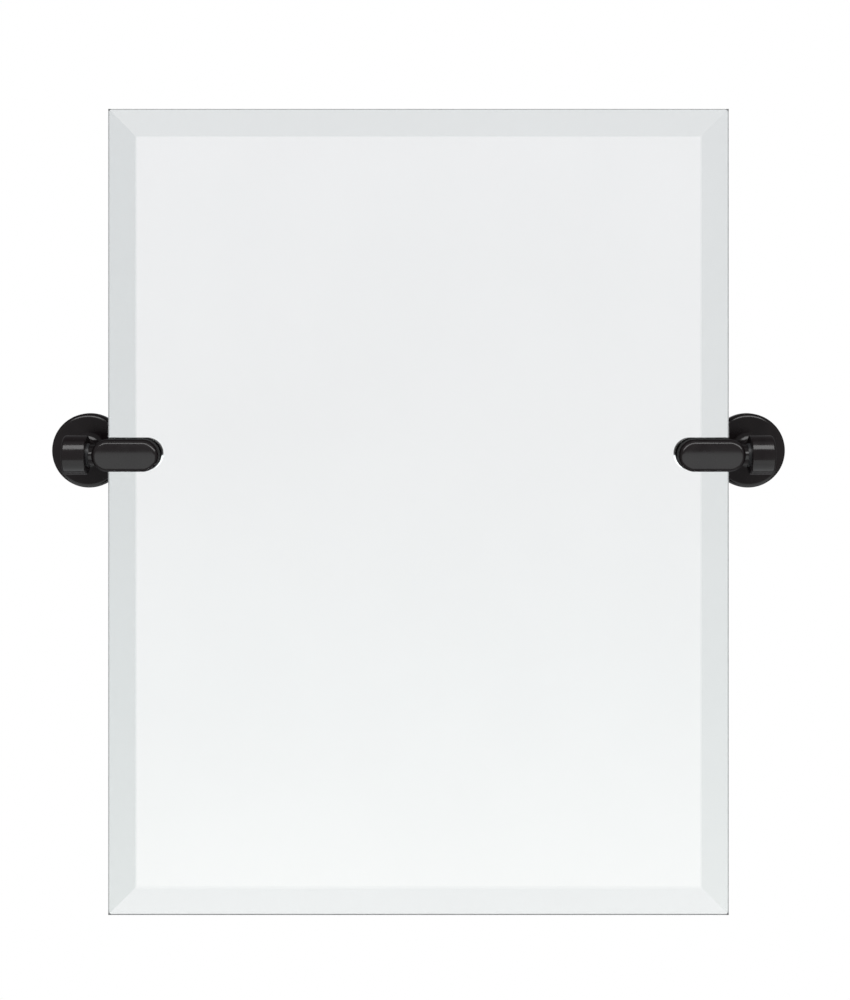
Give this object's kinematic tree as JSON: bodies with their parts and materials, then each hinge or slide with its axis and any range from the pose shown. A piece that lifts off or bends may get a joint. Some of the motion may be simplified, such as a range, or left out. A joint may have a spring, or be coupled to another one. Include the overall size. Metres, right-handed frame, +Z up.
{
  "type": "wall-mounted tilting mirror",
  "caption": "Frameless rectangular bevelled mirror held at mid-height by black clamp arms that tilt on round-flanged wall posts.",
  "frame": {"origin": "on the wall plane, midway between the two posts and level with the pivot axis, which is the centre of the pattern of wall-screw slots", "axes": "+X along the pivot axis to the viewer's right, +Y into the wall, +Z up; the glass faces the viewer at -Y"},
  "size_m": [0.622, 0.08, 0.66],
  "materials": {
    "glass": "polished float glass with a polished bevel",
    "silvering": "silvered",
    "backing_film": "grey safety film, faintly textured",
    "black_lacquer": "gloss black lacquer on die-cast zinc",
    "black_oxide_steel": "black oxide, lightly oiled",
    "zinc_plated_steel": "bright zinc plate",
    "stainless": "turned stainless steel",
    "spring_steel": "tempered spring steel",
    "black_nylon": "moulded nylon",
    "black_acetal": "black low-friction plastic",
    "pad_rubber": "moulded soft rubber"
  },
  "bodies": {
    "wall_mounts": {"wall_plate_left": "zinc_plated_steel", "wall_plate_right": "zinc_plated_steel", "post_left": "black_lacquer", "post_right": "black_lacquer", "flange_set_screw_left": "black_oxide_steel", "flange_set_screw_right": "black_oxide_steel", "end_cap_left": "black_lacquer", "end_cap_right": "black_lacquer", "pivot_bush_left": "black_nylon", "pivot_bush_right": "black_nylon"},
    "mirror_assembly": {"mirror_glass": "glass", "silver_layer": "silvering", "backing_film": "backing_film", "thrust_washer_left": "black_acetal", "thrust_washer_right": "black_acetal", "pivot_pin_left": "stainless", "pivot_pin_right": "stainless", "flat_washer_left": "stainless", "flat_washer_right": "stainless", "spring_washer_left": "spring_steel", "spring_washer_right": "spring_steel", "lock_nut_left": "zinc_plated_steel", "lock_nut_right": "zinc_plated_steel", "front_arm_left": "black_lacquer", "front_arm_right": "black_lacquer", "back_jaw_left": "black_lacquer", "back_jaw_right": "black_lacquer", "jaw_screws_left": "black_oxide_steel", "jaw_screws_right": "black_oxide_steel", "front_pad_left": "pad_rubber", "front_pad_right": "pad_rubber", "rear_pad_left": "pad_rubber", "rear_pad_right": "pad_rubber"}
  },
  "joints": [
    {"name": "mirror_tilt", "type": "hinge", "parent": "wall_mounts", "child": "mirror_assembly", "pos_m": [0, -0.064, 0], "axis": [1, 0, 0], "range_deg": [-11, 8]}
  ]
}
